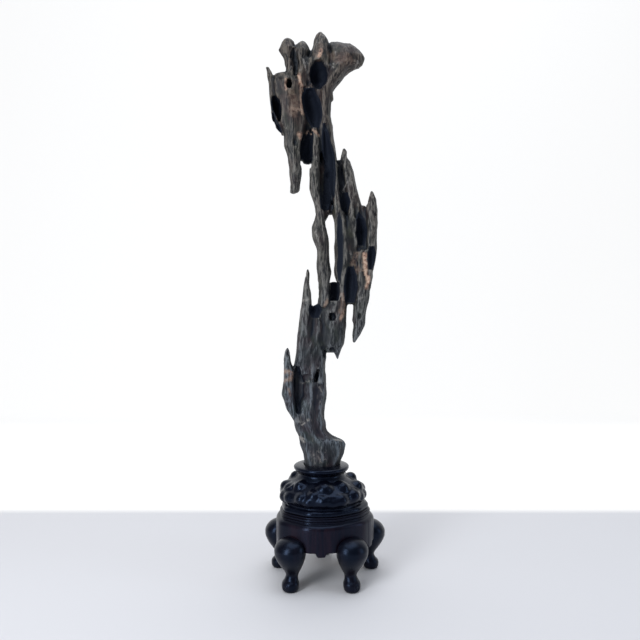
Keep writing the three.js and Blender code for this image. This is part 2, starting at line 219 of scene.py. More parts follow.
class Wire:  # a node's output, so that shader sums read as plain ones
    def __init__(self, tree, socket=None):
        self.tree = tree
        self.socket = socket

    def node(self, kind, settings=None, inputs=None, output=0):
        made = self.tree.nodes.new("ShaderNode" + kind)
        for name, value in (settings or {}).items():
            setattr(made, name, value)
        for key, value in (inputs or {}).items():
            if isinstance(value, Wire):
                self.tree.links.new(value.socket, made.inputs[key])
            else:
                made.inputs[key].default_value = value
        return Wire(self.tree, made.outputs[output])

    def maths(self, operation, *values):
        return self.node("Math", {"operation": operation}, dict(enumerate(values)))

    def __add__(self, other):
        return self.maths("ADD", self, other)

    def __radd__(self, other):
        return self.maths("ADD", other, self)

    def __sub__(self, other):
        return self.maths("SUBTRACT", self, other)

    def __rsub__(self, other):
        return self.maths("SUBTRACT", other, self)

    def __mul__(self, other):
        return self.maths("MULTIPLY", self, other)

    def __rmul__(self, other):
        return self.maths("MULTIPLY", other, self)

    def __abs__(self):
        return self.maths("ABSOLUTE", self)

    def rise(self, low, high):  # 0 to 1 as this goes from low to high
        return self.node("MapRange", {"interpolation_type": "SMOOTHSTEP"}, {0: self, 1: low, 2: high})

    def colour(self, first, second):  # this mixes two colours
        first, second = ((*c, 1) if isinstance(c, tuple) else c for c in (first, second))
        return self.node("Mix", {"data_type": "RGBA"}, {0: self, 6: first, 7: second}, output=2)

    def times(self, factors):  # a vector, stretched
        return self.node("VectorMath", {"operation": "MULTIPLY"}, {0: self, 1: factors})

    def noise(self, size, detail=2.0, roughness=0.5, warp=0.0):  # size in millimetres
        return self.node("TexNoise", {}, {"Vector": self, "Scale": 1000 / size, "Detail": detail,
                                          "Roughness": roughness, "Distortion": warp})


def newMaterial(name, **values):
    material = bpy.data.materials.new(name)
    material.use_nodes = True
    shader = material.node_tree.nodes["Principled BSDF"]
    for socket, value in values.items():
        shader.inputs[socket.replace("_", " ").title().replace("Ior", "IOR")].default_value = value
    return material, Wire(material.node_tree), shader


def feed(shader, **wires):
    for socket, wire in wires.items():
        wire.tree.links.new(wire.socket, shader.inputs[socket.replace("_", " ").title()])


# The rock

rockLook = {
    "step": 0.85,         # grid, in millimetres
    "soften": 0.95,       # rounds the solid's flat facets over
    "swell": 0.15,        # and gives back what that takes off
    "flute": (11.5, 34, 1.9),       # width, length, depth of the long worn scallops
    "rib": (5.5, 27, 0.45),         # of the sharp ribs between them
    "crease": (2.4, 9, 0.22),
    "lump": (12, 17, 0.6),
    "pits": 110,
    "pitSize": (1.1, 3.0),
    "triangles": 194000,
}

# Stone behind openings that do not go through, each a run of level ovals: x, y, height above the collar,
# half width, half depth
backing = {
    "channel": [(-3, 6, 286, 5, 5), (-3, 6, 310, 6, 5), (-3, 6, 338, 6, 5), (-4, 6, 366, 6, 5)],
    "channelRight": [(8, 6, 282, 4, 4), (8, 6, 300, 6, 4), (7, 6, 322, 6, 4)],
    "archLeft": [(-0.5, 2, 271, 2, 4), (1.8, 2, 281, 4, 5), (5, 2, 291, 6, 6)],
    "archRight": [(13, 2, 272, 1.4, 4), (11.6, 2, 282, 2.6, 5), (10, 2, 291, 4, 6)],
    "recess": [(-25, 5, 343, 3, 4), (-24, 6, 350, 5, 5), (-24, 6, 368, 6, 5)],
    "lens": [(-44, 3, 370, 4, 3), (-48, 3, 383, 7, 3.4), (-51, 3, 396, 8, 3.4), (-53, 3, 411, 5, 3)],
    "spire": [(-28, 3, 60, 5, 4), (-28, 3, 84, 8, 4), (-28, 3, 100, 7, 4), (-31, 3, 109, 3, 3)],
    "flapTip": [(-55, -5, 422, 4.5, 6), (-59, -5, 433, 3.6, 5), (-62.4, -5, 443, 2, 3)],
    "knob": [(-32, -8, 428, 4.5, 8), (-31.5, -8, 446, 5.5, 9), (-32, -7, 463, 4, 7)],
    "bladeFoot": [(51, -9, 202, 2, 4), (51.6, -9, 210, 3.4, 5), (52, -9, 218, 3.6, 4)],
}

# The large hollows, painted with shade that turns black towards their depths, opened up again once the
# surface is worn, set out in the same way
largeHollows = {
    "roundPit": [(-6, -17, 418, 4, 9), (-6, -16, 424, 8.5, 14), (-5.5, -14, 433, 10.4, 17),
                 (-5.5, -15, 441, 9, 15), (-6, -16, 448, 4.5, 9)],
    "longPit": [(-9.5, -14, 376, 3.6, 9), (-10.4, -13, 387, 7.2, 13), (-12.4, -13, 397, 8.2, 15),
                (-14.6, -14, 407, 7.8, 14), (-16, -15, 417, 4.4, 9)],
    "archRecess": [(-19, -9, 333, 6.6, 12), (-19, -9, 348, 7.4, 12), (-18.5, -11, 360, 6.4, 11),
                   (-16, -13, 370, 3, 7)],
    "lensHole": [(-48.5, -12, 386, 2.6, 9), (-50.5, -12, 394, 5.2, 11), (-52.5, -12, 403, 4.8, 11),
                 (-54.4, -12, 409, 2, 8)],
    "flapSlit": [(-46.5, -13, 368, 0.9, 6), (-50, -13, 376, 1.3, 8), (-54.5, -13, 384, 1.2, 8),
                 (-56, -13, 391, 0.9, 6)],
    "blackChannel": [(3, -13, 286, 4.6, 10), (4, -12, 300, 6, 11), (5, -12, 325, 6.4, 11),
                     (4.5, -12, 346, 5.8, 10), (2, -14, 366, 3, 7), (0.5, -16, 378, 1.4, 4)],
    "ovalHollow": [(23, -9, 284, 3.2, 9), (23, -8, 294, 5.2, 11), (22.5, -9, 304, 3.2, 9)],
    "bladeHole": [(41.5, -9, 246, 3, 9), (41.5, -8, 260, 5.6, 12), (41, -9, 273, 4, 9),
                  (40, -12, 282, 2.4, 6)],
    "bladeGroove": [(52.5, -13, 219, 2, 5), (53, -12, 227, 3.4, 7), (53.4, -12, 236, 3.8, 7.5),
                    (53, -13, 243, 2, 5)],
    "shadedRecess": [(29, -11, 183, 4, 8), (30, -11, 197, 6, 10), (30, -11, 212, 5, 9),
                     (30, -12, 221, 2.5, 6)],
    "squareHole": [(12, -9, 184, 4.6, 10), (12, -8, 193, 5.8, 12), (12, -8, 204, 5, 11)],
    "spireGroove": [(-28, -13, 60, 2.5, 8), (-28, -12, 75, 4.6, 11), (-27.5, -12, 90, 4.6, 12),
                    (-28, -12, 102, 3.4, 10), (-29, -11, 111, 1.8, 6)],
    "columnGroove": [(16.5, -15, 200, 2.5, 4), (17, -15, 225, 4.2, 5.5), (17, -15, 255, 4.2, 5.5),
                     (17, -15, 280, 2.5, 4)],
    "stemHollow": [(-8, -17, 55, 3, 6), (-7, -16.5, 70, 6.4, 8.5), (-7, -16.5, 85, 6.4, 8.5),
                   (-7, -17, 99, 3, 6)],
    "forkPit": [(-9.5, -13, 166, 3.4, 6), (-9.5, -12, 173.5, 6, 10), (-9.5, -13, 181, 3.4, 6)],
}

# How far down a hollow its painted shade turns fully black
usualBlackDepth = 5
blackDepth = {"roundPit": 17, "stemHollow": 9, "spireGroove": 8, "blackChannel": 4}

# How far in front of a hollow's middle its painted shade starts, as a share of its half depth
usualDarkStart = 0.2
darkStart = {"blackChannel": 0.75, "columnGroove": 1.6}

# Hollows whose mouths are worn soft, and how far the edges are rounded
softMouths = ("stemHollow", "spireGroove", "columnGroove")
softEdge, crispEdge = 2.8, 0.8

# Small hollows, set out in the same way
smallHollows = {
    "headPin": [(-37.5, -18, 415, 2, 8), (-37.5, -18, 420, 3.5, 10), (-37.5, -18, 425, 2, 8)],
    "knobSide": [(-30.5, -18, 430, 3, 7), (-31, -18, 446, 5, 9), (-32.5, -17, 461, 3, 6)],
    "wallGroove": [(36, -9, 276, 1.5, 4), (36.5, -9, 288, 3.5, 6), (36, -9, 300, 1.5, 4)],
    "lowPit": [(9.5, -14, 162, 3, 6), (9.5, -14, 166, 4.6, 8), (9.5, -14, 170, 3, 6)],
    "forkGroove": [(-12.5, -18, 126, 3, 5), (-11.5, -17, 142, 5, 6.4), (-10.5, -16, 158, 5.5, 7),
                   (-9.5, -15, 168, 5, 7)],
    "stemHole": [(-9, -12, 94, 2, 7), (-7.5, -12, 101, 3, 8), (-5.5, -12, 108, 2, 6)],
    "backFin": [(31, 22, 266, 2.5, 6), (32, 20, 275, 4, 8), (31, 21, 284, 2.5, 6)],
    "backStem": [(-20, 18, 100, 3, 7), (-21, 17, 111, 5, 9), (-20, 18, 122, 3, 7)],
    "backFoot": [(-3, 17, 66, 3, 6), (-3, 16, 76, 5, 8), (-4, 17, 87, 3, 6)],
    "backColumn": [(3, 16, 205, 2, 5), (2, 14, 228, 4, 7), (0, 16, 248, 2, 5)],
    "backNeck": [(4, 18, 362, 2, 5), (3, 16, 376, 4.5, 7), (3, 18, 390, 2, 5)],
}


def addOvals(block, ovals, edge=1.6, hollow=True):  # cuts them out, or builds them up
    ovals = np.array(ovals, float) + [rockShift, 0, collarTop, 0, 0]
    margin = 4
    reach = np.stack([ovals[:, 3], ovals[:, 4], 0 * ovals[:, 4]], 1) + margin
    low = (ovals[:, :3] - reach).min(0)
    high = (ovals[:, :3] + reach).max(0)
    first = np.clip(((low - block.low) / block.step).astype(int), 0, None)
    last = np.minimum(((high - block.low) / block.step).astype(int) + 1, block.shape)
    part = tuple(slice(a, b) for a, b in zip(first, last))
    x, y, z = block.rulers()
    x, y, z = x[part[0]], y[:, part[1]], z[:, :, part[2]]
    middleX, middleY, halfWidth, halfDepth = (np.interp(z, ovals[:, 2], ovals[:, c])
                                              for c in (0, 1, 3, 4))
    reach = np.sqrt(((x - middleX) / halfWidth) ** 2 + ((y - middleY) / halfDepth) ** 2)
    side = (reach - 1) * np.minimum(halfWidth, halfDepth)
    above = np.maximum(ovals[0, 2] - z, z - ovals[-1, 2])
    shape = np.where(above > 0, np.hypot(np.maximum(side, 0), above), side)
    if hollow:
        block.values[part] = -blended(-block.values[part], shape, edge)
    else:
        block.values[part] = blended(block.values[part], shape, edge)


def rockBlock():
    node = frame["nodes"]["stone"].data
    node.calc_loop_triangles()
    points = np.array([v.co for v in node.vertices]) / mm - standAxis
    triangles = np.array([t.vertices for t in node.loop_triangles], np.uint32)
    room = 9
    block = Block(points.min(0) - room, points.max(0) + room, rockLook["step"])
    reach = 8                                          # steps of true distance kept each side
    grid = openvdb.FloatGrid.createLevelSetFromPolygons(
        (points - block.low).astype(np.float32), triangles=triangles,
        transform=openvdb.createLinearTransform(voxelSize=block.step), halfWidth=reach)
    block.values = np.full(block.shape, reach * block.step, np.float32)
    grid.copyToArray(block.values)
    return block


def swayOf(block):  # how far the rock's middle leans sideways at each height
    inside = block.values < 0
    x, _, z = block.rulers()
    count = inside.sum((0, 1))
    middle = np.where(count > 0, (inside * x).sum((0, 1)) / np.maximum(count, 1), 0)
    filled = np.interp(np.arange(len(middle)), np.flatnonzero(count), middle[count > 0])
    return z.ravel(), blurred(filled.astype(np.float32), 9 / block.step)


def stretched(points, width, length):
    return points / [width, width, length]


def waterWorn(block):
    step = block.step
    solid = blurred(np.clip(block.values, -4, 4), rockLook["soften"] / step) - rockLook["swell"]
    block.values = blended(solid, block.values + 0.7, 0.9)     # thin tips outlast the softening
    for ovals in backing.values():
        addOvals(block, ovals, hollow=False)
    for ovals in smallHollows.values():
        addOvals(block, ovals)
    heights, sway = swayOf(block)
    thick = blurred((block.values < 0).astype(np.float32), 3.6 / step)

    band = np.argwhere(np.abs(block.values) < 2.6)
    points = block.low + step * band
    spot = tuple(band.T)
    drift = np.stack([rolling(stretched(points, 26, 60), 11), rolling(stretched(points, 26, 60), 12),
                      np.zeros(len(points))], 1)
    flow = points - np.outer(np.interp(points[:, 2], heights, sway), [1, 0, 0]) + 5 * drift
    width, length, depth = rockLook["flute"]
    worn = depth * (scalloped(stretched(flow, width, length), 21) - 0.55)
    width, length, depth = rockLook["rib"]
    worn += depth * (0.4 - np.abs(rolling(stretched(flow, width, length), 31)) * 1.6)
    width, length, depth = rockLook["crease"]
    worn += depth * (0.5 - np.abs(rolling(stretched(flow, width, length), 41)) * 2)
    width, length, depth = rockLook["lump"]
    worn += depth * rolling(stretched(points, width, length), 51)
    free = 0.25 + 0.75 * eased(0.14, 0.4, thick[spot])
    free *= eased(collarTop - 1, collarTop + 7, points[:, 2])
    surface = block.values.copy()
    surface[spot] -= (worn * free).astype(np.float32)

    chance = np.random.default_rng(17)
    shallow = points[(np.abs(block.values[spot]) < 0.5) & (points[:, 2] > collarTop + 14)]
    small, large = rockLook["pitSize"]
    for centre in shallow[chance.choice(len(shallow), rockLook["pits"], replace=False)]:
        size = small + (large - small) * chance.random() ** 2
        first = ((centre - 2 * size - block.low) / step).astype(int)
        last = ((centre + 2 * size - block.low) / step).astype(int) + 2
        part = tuple(slice(max(a, 0), b) for a, b in zip(first, last))
        x, y, z = block.rulers()
        hole = np.sqrt((x[part[0]] - centre[0]) ** 2 + (y[:, part[1]] - centre[1]) ** 2
                       + ((z[:, :, part[2]] - centre[2]) / 1.7) ** 2) - size
        surface[part] = -blended(-surface[part], hole, 0.8)
    block.values = surface
    for name, ovals in largeHollows.items():
        addOvals(block, ovals, edge=softEdge if name in softMouths else crispEdge)


rockFront = 14                                         # how far the front of the rock stands from the axis

# Pale and warm veins, each a run of points x, height above the collar, then half width and strength
warmVeins = [
    ([(-1.8, 459.7), (-5.1, 451)], 2.4, 1.0),
    ([(-27, 430), (-24.6, 414), (-24.2, 400), (-23.6, 388)], 2.2, 1.0),
    ([(-25, 422), (-22, 417)], 1.5, 0.8),
    ([(-37, 408), (-33, 398), (-36, 386)], 5.5, 0.22),
    ([(10, 458), (20, 449), (29, 452)], 5.5, 0.16),
    ([(-6, 452), (-2, 466)], 4.5, 0.14),
    ([(-42, 422), (-42.5, 412)], 1.9, 0.8),
    ([(-35.8, 390), (-21.5, 391)], 2.0, 0.45),
    ([(-26.5, 364), (-26.5, 361)], 3.0, 1.0),
    ([(-15.3, 374), (-4.3, 368.6)], 2.4, 0.8),
    ([(46.2, 237), (46.4, 230), (46.4, 218.6), (49.6, 207), (48.4, 199.6)], 2.3, 1.1),
    ([(38, 237), (34, 228), (40, 218)], 3.2, 0.22),
    ([(23, 192), (24, 182), (21, 170)], 3.6, 0.34),
    ([(21, 187), (25.8, 184), (25.8, 178)], 1.4, 0.6),
    ([(23.5, 174), (19.5, 165.5)], 2.3, 0.9),
    ([(-42, 108), (-34, 106), (-34, 99), (-41, 97)], 2.2, 0.5),
    ([(-38, 88), (-36, 80)], 1.2, 0.4),
    ([(1.5, 179), (4.5, 184)], 1.6, 0.5),
]
paleVeins = [
    ([(-23.3, 451.3), (-19, 437.8)], 1.2, 0.9),
    ([(15.3, 462.5), (15.6, 459)], 1.2, 0.8),
    ([(11.6, 446), (11.2, 441)], 1.3, 0.7),
    ([(38.8, 450.6), (39.4, 449.4)], 1.2, 0.6),
    ([(-7.5, 342), (-7.6, 340)], 1.4, 0.8),
    ([(31, 239), (31.4, 233)], 1.2, 0.6),
    ([(38.1, 186.5), (47, 188.7)], 0.8, 0.5),
    ([(9.5, 184.3), (15, 186), (20.1, 192)], 1.0, 0.7),
    ([(-22, 187), (-19, 185), (-15.5, 186.5)], 1.1, 0.9),
    ([(-22, 96.6), (-15, 96.6)], 0.9, 0.6),
    ([(-5, 95.5), (2.6, 97)], 0.9, 0.6),
    ([(-16.2, 53.1), (-24, 47.5)], 1.2, 0.9),
    ([(-28.8, 36.9), (-24, 36.1), (-20.1, 29.8)], 1.0, 0.9),
    ([(-28, 53), (-25, 51)], 2.4, 0.4),
    ([(-11, 16), (-9, 5)], 0.7, 0.55),
    ([(-14.5, 20), (-12.5, 9)], 0.6, 0.4),
    ([(-6.5, 14), (-2.5, 6)], 0.6, 0.45),
    ([(-2.5, 23), (-6, 11)], 0.5, 0.4),
    ([(3, 20), (-1, 9)], 0.5, 0.35),
    ([(14, 32.3), (23, 31.7)], 1.3, 1.0),
    ([(-9.1, 259.5), (-6, 249)], 0.9, 0.7),
    ([(28.9, 319.5), (24.9, 311.6)], 0.8, 0.6),
    ([(33.6, 215), (36.7, 210.6)], 0.9, 0.5),
    ([(23, 216), (22, 208)], 1.1, 0.7),
]


def veinStrength(points, veins):
    # a vein is a sheet through the rock, leaning a little from front to back
    back = points[:, 1] + rockFront
    across = points[:, 0] - rockShift + 0.25 * back
    up = points[:, 2] - collarTop + 0.35 * back
    ragged = 1 + 0.45 * rolling(points / 2.6, 61) + 0.3 * rolling(points / 6, 62)
    strength = np.zeros(len(points))
    for run, halfWidth, most in veins:
        for (x0, z0), (x1, z1) in zip(run, run[1:]):
            dx, dz = x1 - x0, z1 - z0
            along = np.clip(((across - x0) * dx + (up - z0) * dz) / (dx * dx + dz * dz), 0, 1)
            gap = np.hypot(across - x0 - along * dx, up - z0 - along * dz)
            strength = np.maximum(strength, most * (1 - eased(0.45, 1.25, gap / halfWidth / ragged)))
    return strength


def depthInHollows(points):  # how far a point lies down in the large hollows, 1 where its painted shade is fully black
    depth = np.zeros(len(points))
    for name, ovals in largeHollows.items():
        ovals = np.array(ovals, float) + [rockShift, 0, collarTop, 0, 0]
        inside = (points[:, 2] > ovals[0, 2] - 1) & (points[:, 2] < ovals[-1, 2] + 1)
        x, y, z = points[inside].T
        middleX, middleY, halfWidth, halfDepth = (np.interp(z, ovals[:, 2], ovals[:, c])
                                                  for c in (0, 1, 3, 4))
        reach = np.hypot((x - middleX) / (halfWidth + 0.9), (y - middleY) / (halfDepth + 0.9))
        mouth = eased(1.25, 0.4, reach) if name in softMouths else eased(1.3, 1.05, reach)
        below = y - middleY + darkStart.get(name, usualDarkStart) * halfDepth
        found = mouth * below / blackDepth.get(name, usualBlackDepth)
        depth[inside] = np.maximum(depth[inside], found)
    return np.minimum(depth, 1)


def paint(piece, name, values):
    layer = piece.data.attributes.new(name, "FLOAT", "POINT")
    layer.data.foreach_set("value", values.astype(np.float32))


def rockMaterial():
    # the bluish specular tint is painted light: it gives reflections the cool colour of the window light
    material, start, shader = newMaterial("rock", roughness=0.55, ior=1.5, specular_ior_level=0.28,
                                          specular_tint=(0.85, 0.93, 1.0, 1))
    place = start.node("TexCoord", {}, {}, "Object")
    upright = place.times((1, 1, 0.16))
    warm, pale, hollow, deep = (start.node("Attribute", {"attribute_name": n}, {}, "Fac")
                                for n in ("warm", "pale", "hollow", "deep"))
    broad = place.noise(34, 3).rise(0.42, 0.6)
    warm = warm * (1 - deep.rise(0.35, 0.95))
    pale = pale * (1 - deep)
    streak = upright.noise(5, 4, 0.6)
    fine = upright.noise(1.7, 3, 0.6)
    speck = place.noise(1.1, 2)
    grit = place.noise(3.6, 3, 0.65)
    ridge = (0.52 - hollow).rise(0.0, 0.16)

    tone = broad.colour((0.0105, 0.0098, 0.0090), (0.029, 0.0160, 0.0155))
    tone = place.noise(16, 3).rise(0.5, 0.66).colour(tone, (0.020, 0.0205, 0.0140))
    tone = (streak.rise(0.46, 0.74) * 0.5).colour(tone, (0.062, 0.054, 0.044))
    # the ridges are paled: partly worn, dusty edges, partly a painted highlight
    tone = (ridge * fine.rise(0.36, 0.62) * 0.8).colour(tone, (0.165, 0.152, 0.135))
    tone = (fine.rise(0.56, 0.36) * 0.65).colour(tone, (0.006, 0.0060, 0.0075))
    # painted shade: the concave places are darkened to blue-black
    tone = hollow.rise(0.52, 0.62).colour(tone, (0.0025, 0.004, 0.008))
    height = place.node("SeparateXYZ", {}, {0: place}, "Z")
    # painted cool light: the lower part of the rock is tinted bluer
    tone = height.rise(0.36, 0.18).colour(tone, tone.times((0.78, 0.98, 1.28)))
    tone = height.rise(0.44, 0.53).colour(tone, tone.times((0.82, 0.74, 0.68)))

    hair = abs(upright.noise(15, 3, 0.55, 0.6) - 0.5).rise(0.010, 0.002)
    hair = hair * place.noise(38, 1).rise(0.5, 0.62)
    whitish = (pale * grit.rise(0.34, 0.56) + hair * 0.45) * (0.5 + 0.6 * speck)
    tone = whitish.colour(tone, (0.27, 0.25, 0.23))
    veinTone = grit.rise(0.4, 0.62).colour((0.30, 0.165, 0.115), (0.46, 0.33, 0.245))
    tone = (warm * grit.rise(0.26, 0.5) * (0.6 + 0.6 * speck)).colour(tone, veinTone)
    # painted shade: the large hollows go blue-black towards their depths
    tone = deep.rise(0.12, 0.65).colour(tone, (0.0005, 0.0022, 0.0085))

    sheen = 0.60 - 0.18 * streak + 0.18 * fine * hollow + 0.25 * deep
    relief = streak * 0.5 + fine * 0.4 + speck * 0.15
    bump = start.node("Bump", {}, {"Strength": 0.8, "Distance": 0.0008, "Height": relief})
    feed(shader, base_color=tone, roughness=sheen, normal=bump)
    return material


def makeRock():
    block = rockBlock()
    waterWorn(block)
    points, quads = block.surface()
    rock = makePiece("scholars_rock", points, quads, rockMaterial(), "rock", "stone")
    thinned(rock, rockLook["triangles"])
    points = pointsOf(rock)
    thick = blurred((block.values < 0).astype(np.float32), 3.2 / block.step)
    # how enclosed each point is: this sets the painted shade in concave places and the pale ridges
    paint(rock, "hollow", block.at(points, thick))
    # how far each point lies down the large hollows: this sets their painted shade
    paint(rock, "deep", depthInHollows(points))
    paint(rock, "warm", veinStrength(points, warmVeins))
    paint(rock, "pale", veinStrength(points, paleVeins))
    print("rock:", len(rock.data.polygons), "faces")


# The carved wood

def insideTurned(profile, radius, height):  # distance to a turned profile that starts and ends on the axis
    profile = np.array(profile, float)
    nearest = np.full(np.broadcast(radius, height).shape, 99.0)
    winding = np.zeros(nearest.shape, bool)
    for (r0, z0), (r1, z1) in zip(profile, profile[1:]):
        along = (radius - r0) * (r1 - r0) + (height - z0) * (z1 - z0)
        along = np.clip(along / ((r1 - r0) ** 2 + (z1 - z0) ** 2), 0, 1)
        gap = np.hypot(radius - r0 - along * (r1 - r0), height - z0 - along * (z1 - z0))
        nearest = np.minimum(nearest, gap)
        if z0 != z1:
            crosses = (z0 > height) != (z1 > height)
            winding ^= crosses & (radius < r0 + (height - z0) * (r1 - r0) / (z1 - z0))
    return np.where(winding, -nearest, nearest)


def arc(centreRadius, centreHeight, size, start, end, steps=6):
    turns = np.radians(np.linspace(start, end, steps))
    return [(centreRadius + size * math.cos(a), centreHeight + size * math.sin(a)) for a in turns]


def apronFaces():  # middle, outward direction and distance from the axis of each face
    ends = np.roll(apronCorners, -1, axis=0)
    along = ends - apronCorners
    outward = np.stack([along[:, 1], -along[:, 0]], 1) / np.hypot(*along.T)[:, None]
    return (apronCorners + ends) / 2, outward, (outward * apronCorners).sum(1)


def planRadius(x, y, rounding):  # a radius that is the same all along the apron's outline
    _, outward, distances = apronFaces()
    reaches = [apronRadius * (x * nx + y * ny) / d for (nx, ny), d in zip(outward, distances)]
    most = np.maximum.reduce(reaches)
    return most + rounding * np.log(sum(np.exp((reach - most) / rounding) for reach in reaches))


def woodMaterial(name, dark, light, worn, roughness, darkAbove=None):  # darkAbove is a height in metres
    # the bluish specular tint is painted light: it gives reflections the cool colour of the window light
    material, start, shader = newMaterial(name, roughness=roughness, specular_ior_level=0.24,
                                          specular_tint=(0.42, 0.6, 1.0, 1))
    place = start.node("TexCoord", {}, {}, "Object")
    along = place.times((1, 1, 0.12))
    grain = along.noise(2.2, 4, 0.6, 0.3)
    bands = along.noise(9, 3, 0.5, 1.2)
    pores = along.noise(0.8, 2, 0.7)
    edge = start.node("NewGeometry", {}, {}, "Pointiness").rise(0.52, 0.6)
    tone = bands.rise(0.35, 0.7).colour(dark, light)
    if darkAbove:
        height = place.node("SeparateXYZ", {}, {0: place}, "Z")
        tone = height.rise(darkAbove - 0.0015, darkAbove).colour(tone, dark)
    tone = (grain.rise(0.55, 0.3) * 0.5).colour(tone, tuple(c * 0.55 for c in dark))
    tone = (edge * place.noise(9, 2).rise(0.35, 0.7) * 0.7).colour(tone, worn)
    gloss = roughness + 0.12 * (grain - 0.5) + 0.16 * (place.noise(24, 2) - 0.5)
    relief = grain * 0.6 + pores * 0.4
    bump = start.node("Bump", {}, {"Strength": 0.35, "Distance": 0.0003, "Height": relief})
    feed(shader, base_color=tone, roughness=gloss, normal=bump)
    return material


topLook = {
    "step": 0.6,          # grid, in millimetres
    "soften": 0.45,
    "crease": 3.4,        # how far the carved lumps run into each other
    "triangles": 150000,
    # the mass under the collar: radius, height above the table
    "dome": [(42.5, 81), (44.6, 85), (46.4, 88), (47, 92), (44.8, 97), (39.4, 101.5), (33.4, 105),
             (28.8, 107.6)],
    "domeShift": -2.7,    # of its middle, to the side
    # lumps of rockwork on it: angle, height above the table, size, how far they stand out
    "lumps": [(238, 92.5, 6, 2.4), (250, 90, 5, 2), (257, 96.5, 6, 2), (271, 92, 7, 2.2),
              (285, 89.5, 5, 1.6), (297, 91.5, 7.5, 2.8), (322, 93.5, 7.5, 2.8), (308, 101.5, 8, 2.6),
              (225, 102.5, 7, 3.2), (215, 90.5, 6.5, 2.4), (273, 101, 9, 1.6), (198, 89, 7, 2.8),
              (184, 97.5, 7, 3), (203, 98.5, 6, 2), (166, 105.5, 7, 5), (168, 90, 7, 2.4),
              (347, 99, 7, 2.8), (352, 89.5, 7, 2.8), (338, 89, 6, 2), (20, 103, 7, 4),
              (12, 92, 7.5, 2.6), (35, 93, 8, 2.6), (52, 100, 7, 2.4), (66, 90, 7, 2.4),
              (84, 96, 8, 2.6), (103, 89.5, 7, 2.2), (117, 99, 7.5, 2.6), (137, 91, 8, 2.6),
              (150, 100, 7, 2.2)],
    # broad leaves of rock with a crisp upper edge: angle, distance, height above the apron, size,
    # and where the edge is
    "leaves": [(309, 40, 18, 13, 7), (329, 41, 15, 10.5, 6.5), (258, 41.5, 21, 8, 4.5),
               (205, 40, 21, 10, 6), (160, 40, 19, 11, 6), (62, 39, 20, 11, 6), (100, 40, 17, 11, 5)],
    # the seat for the rock: half widths and half depths at its floor and mouth, depth, shift
    "seatHalfWidth": (19.4, 20.4),
    "seatHalfDepth": (14.9, 15.7),
    "seatDepth": 9.3,
    "seatShift": -2,
    "wood": ((0.0011, 0.0015, 0.0042), (0.0026, 0.0028, 0.0062), (0.0042, 0.0044, 0.0082), 0.25),
}


def addLumps(rockwork, x, y, z):
    domeRadii, domeHeights = zip(*topLook["dome"])
    for angle, height, size, out in topLook["lumps"]:
        turn = math.radians(angle)
        distance = np.interp(height, domeHeights, domeRadii) + out - size
        across = topLook["domeShift"] + distance * math.cos(turn)
        back = distance * math.sin(turn)
        gap = np.sqrt((x - across) ** 2 + (y - back) ** 2 + ((z - height) * 1.1) ** 2) - size
        rockwork = blended(rockwork, gap, topLook["crease"])
    return rockwork


def addLeaves(rockwork, x, y, z):
    for angle, distance, height, size, edge in topLook["leaves"]:
        turn = math.radians(angle)
        outward = (x - collarShift) * math.cos(turn) + y * math.sin(turn) - distance * 0.9
        sideways = y * math.cos(turn) - (x - collarShift) * math.sin(turn)
        rise = z - apronTop - height
        gap = np.sqrt((outward * 1.25) ** 2 + (sideways * 0.86) ** 2 + rise ** 2) - size
        slope = 0.8 * rise + 0.45 * outward - 0.25 * sideways - edge * 0.8
        gap = -blended(-gap, -slope, 0.6)
        rockwork = blended(rockwork, gap, 1.0)
    return rockwork


def makeTop():
    base, top = apronTop, collarTop
    block = Block([-60, -62, base - 9], [60, 58, top + 5], topLook["step"])
    x, y, z = block.rulers()
    waist = insideTurned([(0, base + clearance), (48.4, base + clearance), (49.1, base + 0.9),
                          (49.3, base + 2.2), (49.1, base + 3.6), (48.2, base + 5), (46.4, base + 6.2),
                          (44.2, base + 7), (42.8, base + 8), (42, base + 9.6), (41.4, base + 12),
                          (0, base + 16)], planRadius(x, y, 1.6), z)
    shift = np.interp(z, [base + 20, top - 13], [topLook["domeShift"], collarShift])
    dome = insideTurned([(0, base + 5), *topLook["dome"], (27, top - 10), (25.8, top - 8.4),
                         (25.6, top - 7.2), (26.8, top - 5.8), (29, top - 4.4), (30.5, top - 2.8),
                         (31, top - 1.2), (30.6, top + 0.2), (29.2, top + 1), (26.5, top + 1.6),
                         (22, top + collarCrown), (0, top + collarCrown)], np.hypot(x - shift, y), z)
    spigot = insideTurned([(0, base - spigotLength), (spigotRadius, base - spigotLength),
                           (spigotRadius, base + 6), (0, base + 6)], np.hypot(x, y), z)
    rockwork = addLeaves(addLumps(dome, x, y, z), x, y, z)
    solid = np.minimum(blended(rockwork, waist, 1.6), spigot)

    seatLevels = [top - 9.5, top + 3]
    halfWidth = np.interp(z, seatLevels, topLook["seatHalfWidth"])
    halfDepth = np.interp(z, seatLevels, topLook["seatHalfDepth"])
    seat = np.hypot((x - rockShift - topLook["seatShift"]) / halfWidth, y / halfDepth)
    seat = np.maximum((seat - 1) * topLook["seatHalfDepth"][0], top - topLook["seatDepth"] - z)
    solid = -blended(-solid, seat, 1.2)

    block.values = blurred(solid.astype(np.float32), topLook["soften"] / block.step)
    points, quads = block.surface()
    wood = woodMaterial("dark wood", *topLook["wood"])
    piece = makePiece("carved_top", points, quads, wood, "dark_wood", "stand_top")
    thinned(piece, topLook["triangles"])
    print("carved top:", len(piece.data.polygons), "faces")


apronLook = {
    "columns": 560,
    "rounding": 2.4,      # of its upright corners
    "hollow": 36,         # underside hollow, and its roof
    "roof": 60,
    "pendantWidth": (6.4, 3.4),     # half widths, where it leaves the edge and at its tip
    "strip": (6.6, 0.38),           # half width and height of the raised strip above a pendant
    "darkEdge": 8,        # how far down from the top the colour is darker
    "wood": ((0.0022, 0.0015, 0.0038), (0.0100, 0.0040, 0.0064), (0.018, 0.010, 0.015), 0.31),
}


